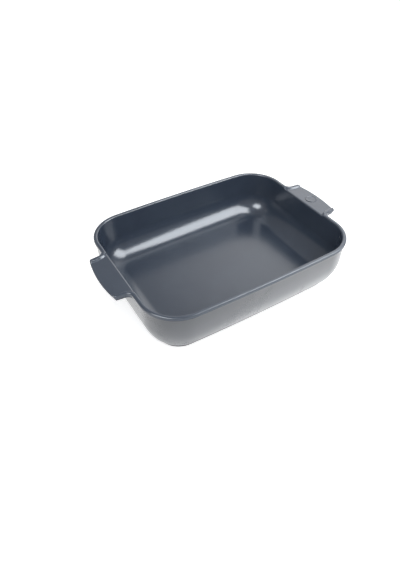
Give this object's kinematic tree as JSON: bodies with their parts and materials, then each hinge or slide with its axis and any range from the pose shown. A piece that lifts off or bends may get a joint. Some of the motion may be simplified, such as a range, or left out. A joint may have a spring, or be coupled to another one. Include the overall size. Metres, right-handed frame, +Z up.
{
  "type": "lasagna dish",
  "caption": "Rectangular stoneware baking dish with rounded corners, a flat lipped rim, flat lug handles, a coved inside and a bare foot ring.",
  "frame": {"origin": "centre of the dish on the table, under the middle of the foot ring", "axes": "+X along the dish's length towards the handle with the medallion, +Y across it, +Z up"},
  "size_m": [0.4, 0.2666, 0.0826],
  "materials": {
    "stoneware": "matte, unglazed, fired clay",
    "slate_glaze": "glossy dark slate glaze",
    "outer_glaze": "satin slate glaze, paler"
  },
  "bodies": {
    "root": {"tray": "stoneware", "foot_ring": "stoneware", "back_rim": "stoneware", "front_rim": "stoneware", "left_handle": "stoneware", "right_handle": "stoneware", "medallion": "slate_glaze", "inside_glaze": "slate_glaze", "outside_glaze": "outer_glaze", "base_glaze": "outer_glaze", "back_rim_glaze": "slate_glaze", "front_rim_glaze": "slate_glaze", "left_handle_glaze": "slate_glaze", "right_handle_glaze": "slate_glaze"}
  },
  "joints": []
}
